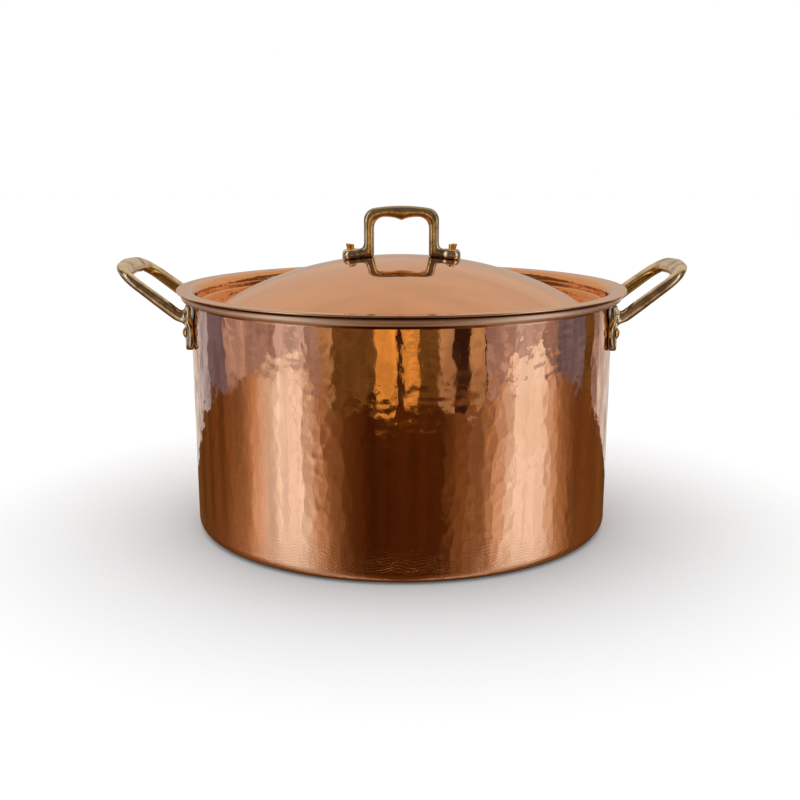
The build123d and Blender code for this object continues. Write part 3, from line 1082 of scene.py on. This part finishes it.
def tableTone(tree, azimuth, rise, glow):
    math, ease = partial(mathOf, tree), partial(easeOf, tree)
    stops = [(start, tableTones[name]) for start, name in glowSteps]
    table = toneRamp(tree, glow, stops, "LINEAR")
    middle = math("SUBTRACT", 1.0, ease(math("ABSOLUTE", azimuth), *studio["middle"]))
    table = mixTones(tree, middle, table, tableTones["shade"])
    table = mottled(tree, table, azimuth, rise, "streaks")
    table = mottled(tree, table, azimuth, rise, "fineStreaks")
    table = scaleTone(tree, table, ease(rise, *studio["underPotFrom"], studio["underPot"], 1.0))
    share = math("MULTIPLY_ADD", middle, studio["closeShade"], studio["closeShare"])
    close = math("MULTIPLY", ease(rise, *studio["close"]), share)
    return mixTones(tree, close, table, tableTones["close"])


def roomTone(tree, azimuth, rise, glow):
    # upright strips, the windows above them, and the pale back
    math, ease = partial(mathOf, tree), partial(easeOf, tree)
    strips = [((start + 180) / 360, roomTones[tone]) for start, tone in roomStrips]
    room = toneRamp(tree, rangeOf(tree, azimuth, -180.0, 180.0), strips, "CONSTANT")
    room = mottled(tree, room, azimuth, rise, "clutter")
    pane = math("MULTIPLY", glow, math("SUBTRACT", 1.0, ease(rise, *studio["paneTop"])))
    window = mixTones(tree, pane, windowTones["wall"], windowTones["pane"])
    room = mixTones(tree, ease(rise, *studio["roomTop"]), room, window)
    back = toneRamp(tree, math("DIVIDE", math("ADD", rise, 90.0), 180.0), backTones, "EASE")
    back = mottled(tree, back, azimuth, rise, "drift")
    sideways = math("ABSOLUTE", azimuth)
    lifted = math("MULTIPLY_ADD", math("MAXIMUM", rise, 0.0), studio["backLean"], sideways)
    behind = math("MULTIPLY", ease(lifted, *studio["back"]), ease(rise, *studio["backRise"]))
    return mixTones(tree, behind, room, back)


def makeWorld():
    world = bpy.data.worlds.new("studio")
    bpy.context.scene.world = world
    world.use_nodes = True
    tree = world.node_tree
    tree.nodes.clear()
    math, ease = partial(mathOf, tree), partial(easeOf, tree)
    way = addNode(tree, "ShaderNodeTexCoord").outputs["Generated"]
    x, y, z = partsOf(tree, way)
    azimuth = math("DEGREES", math("ARCTAN2", x, math("MULTIPLY", y, -1.0)))
    rise = math("DEGREES", math("ARCSINE", z))
    sideways = math("ABSOLUTE", azimuth)
    glow = windowGlow(tree, azimuth, rise)
    table = tableTone(tree, azimuth, rise, glow)
    room = roomTone(tree, azimuth, rise, glow)
    edge = math("MULTIPLY_ADD", glow, studio["glowRise"], studio["tableEdge"])
    sides, backs = ease(sideways, *studio["sides"]), ease(sideways, *studio["backs"])
    edge = math("MULTIPLY_ADD", sides, studio["sideRise"], edge)
    edge = math("MULTIPLY_ADD", backs, -studio["backDrop"], edge)
    above = ease(math("SUBTRACT", rise, edge), -studio["edgeBlur"], studio["edgeBlur"])
    glossy = addNode(tree, "ShaderNodeLightPath").outputs["Is Glossy Ray"]
    seen = mixTones(tree, above, table, room)
    tone = mixTones(tree, glossy, (studio["level"],) * 3, seen)
    background = addNode(tree, "ShaderNodeBackground", {"Color": tone, "Strength": 1.0})
    addNode(tree, "ShaderNodeOutputWorld", {"Surface": background.outputs[0]})


def makeFloor():
    half = studio["floorHalf"]
    corners = [(-half, -half, 0), (half, -half, 0), (half, half, 0), (-half, half, 0)]
    mesh = bpy.data.meshes.new("floor")
    mesh.from_pydata(corners, [], [(0, 1, 2, 3)])
    floor = bpy.data.objects.new("floor", mesh)
    bpy.context.scene.collection.objects.link(floor)
    floor.visible_glossy = False
    material = bpy.data.materials.new("paleFloor")
    material.use_nodes = True
    tree = material.node_tree
    tree.nodes.clear()
    # painted shadow: the floor's tone darkens toward the pot by closeness
    near = addNode(tree, "ShaderNodeAmbientOcclusion", {"Distance": studio["contactReach"]})
    tone = mixTones(tree, near.outputs["AO"], studio["contactShadow"], (1, 1, 1))
    matte = addNode(tree, "ShaderNodeBsdfDiffuse", {"Color": tone}).outputs[0]
    inputs = {"Color": tone, "Strength": studio["floorTone"]}
    plain = addNode(tree, "ShaderNodeEmission", inputs).outputs[0]
    fromCamera = addNode(tree, "ShaderNodeLightPath").outputs["Is Camera Ray"]
    lift = mathOf(tree, "MULTIPLY", fromCamera, studio["floorLift"])
    both = addNode(tree, "ShaderNodeMixShader", {"Fac": lift, 1: matte, 2: plain})
    addNode(tree, "ShaderNodeOutputMaterial", {"Surface": both.outputs[0]})
    floor.data.materials.append(material)


lamps = {
    "overhead": {"place": (-0.2, 0.1, 1.4), "size": 0.9, "power": 2.0},
}


def makeLamps():
    # each lamp is a disc aimed at the middle of the pot's base, and isn't mirrored
    for name, lamp in lamps.items():
        light = bpy.data.lights.new(name, "AREA")
        light.shape = "DISK"
        light.size = lamp["size"]
        light.energy = lamp["power"]
        holder = bpy.data.objects.new(name, light)
        holder.location = lamp["place"]
        holder.visible_glossy = False
        x, y, z = lamp["place"]
        holder.rotation_euler = (atan2(hypot(x, y), z), 0, atan2(-x, y) + pi)
        bpy.context.scene.collection.objects.link(holder)


# Camera: distance, height, pitch and lens found from the photograph's ellipses

camera = {
    "distance": 0.7807,
    "height": 0.2482,
    "pitch": 12.06,           # degrees down
    "pan": 0.071,
    "walk": 0.7,              # degrees round the pot to the right
    "lens": 52.4,             # millimetres, as the sensor
    "sensor": 36.0,
    "reach": 50.0,
}


def makeCamera():
    data = bpy.data.cameras.new("camera")
    data.lens = camera["lens"]
    data.sensor_width = camera["sensor"]
    data.clip_end = camera["reach"]
    eye = bpy.data.objects.new("camera", data)
    walk, away = radians(camera["walk"]), camera["distance"]
    eye.location = (away * sin(walk), -away * cos(walk), camera["height"])
    turn = radians(camera["pan"] + camera["walk"])
    eye.rotation_euler = (radians(90 - camera["pitch"]), 0, turn)
    bpy.context.scene.collection.objects.link(eye)
    bpy.context.scene.camera = eye


potPiece = makePot()
lidPiece = makeLid()
pegPiece = makePegs()
castings = [makeCasting(name, *handle) for name, handle in handles.items()]

tarnishLook = tarnishGroup()
creviceShading = creviceShadeGroup()
paint(potPiece, hammeredCopper(tarnishLook, creviceShading))
paint(lidPiece, spunCopper(tarnishLook, creviceShading))
brass = castBrass(tarnishLook)
for piece in castings:
    paint(piece, brass)
rivets = rivetCopper(tarnishLook)
paint(pegPiece, rivets)
for node in ("left_handle_rivets", "right_handle_rivets", "lid_handle_rivets"):
    paint(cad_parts[node], rivets)
paint(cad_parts["rim_wire"], steelWire())
print("materials done")

makeWorld()
makeFloor()
makeLamps()
makeCamera()
bpy.context.scene.view_settings.view_transform = "Standard"
print("studio done")
